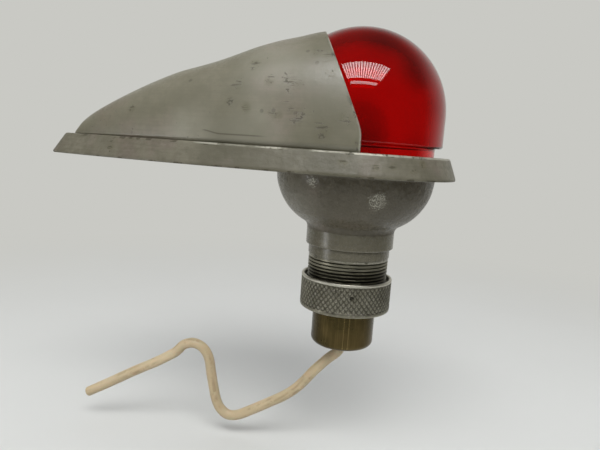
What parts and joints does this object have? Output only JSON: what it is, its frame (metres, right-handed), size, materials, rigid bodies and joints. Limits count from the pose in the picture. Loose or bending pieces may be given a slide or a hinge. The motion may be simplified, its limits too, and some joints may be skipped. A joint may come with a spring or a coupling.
{
  "type": "aircraft navigation light",
  "caption": "Wingtip style navigation light: red glass dome in a teardrop fairing on a bevelled flange, with a bowl, threaded neck, knurled union ring and bayonet lampholder.",
  "frame": {"origin": "on the axis of the bowl, neck and dome, in the plane of the flange's mounting face", "axes": "+Z along the dome's axis, away from the mounting surface; +X forward, from the fairing's tail to the dome; +Y to the left"},
  "size_m": [0.1232, 0.0576, 0.1244],
  "materials": {
    "grey_enamel": "satin, chipped and speckled with wear",
    "dull_aluminium": "dull, dark in the threads",
    "bare_aluminium": "knurled, worn bright on the edges",
    "red_glass": "polished, deep red",
    "lamp_glass": "clear",
    "tarnished_brass": "dark and tarnished",
    "yellow_brass": "satin",
    "steel": "satin",
    "solder": "dull",
    "copper": "bare copper wire",
    "black_rubber": "matte",
    "brown_phenolic": "moulded",
    "black_glass": "glossy fused glass",
    "cream_insulation": "aged, slightly soiled"
  },
  "bodies": {
    "root": {"base_casting": "grey_enamel", "threaded_sleeve": "dull_aluminium", "fairing": "grey_enamel", "fairing_screws": "steel", "lens": "red_glass", "lens_gasket": "black_rubber", "lens_snap_ring": "steel"},
    "lampholder": {"bayonet_tube": "yellow_brass", "brass_cap": "tarnished_brass", "seal_washer": "black_rubber", "insulator_block": "brown_phenolic", "terminal_tube": "yellow_brass", "terminal_screw": "steel", "contact_spring": "steel", "cable_bush": "black_rubber", "cable_tail": "cream_insulation", "cable_core": "copper", "cable": "cream_insulation", "thrust_washer": "yellow_brass"},
    "union_ring": {"union_ring": "bare_aluminium"},
    "bulb": {"bulb_glass": "lamp_glass", "bulb_cap": "yellow_brass", "bayonet_pins": "yellow_brass", "bulb_base": "black_glass", "bulb_contact": "solder", "bulb_stem": "lamp_glass", "support_wires": "steel", "filament": "steel"},
    "centre_contact": {"contact_disc": "brown_phenolic", "contact_rivet": "yellow_brass"}
  },
  "joints": [
    {"name": "lampholder_drop", "type": "slide", "parent": "root", "child": "lampholder", "axis": [0, 0, -1], "range_m": [0, 0.004]},
    {"name": "ring_turn", "type": "hinge", "parent": "lampholder", "child": "union_ring", "pos_m": [0, 0, -0.0356], "axis": [0, 0, -1], "range_deg": [0, 1440]},
    {"name": "bulb_push", "type": "slide", "parent": "lampholder", "child": "bulb", "axis": [0, 0, -1], "range_m": [0, 0.002], "stiffness_N_per_m": 1000, "springref_m": -0.003},
    {"name": "contact_travel", "type": "slide", "parent": "lampholder", "child": "centre_contact", "axis": [0, 0, -1], "range_m": [0, 0.002], "deforming": ["contact_spring"]}
  ],
  "couplings": [
    {"joint": "ring_turn", "follows": "lampholder_drop", "rad_per_m": 6283.2},
    {"joint": "contact_travel", "follows": "bulb_push", "ratio": 1}
  ]
}
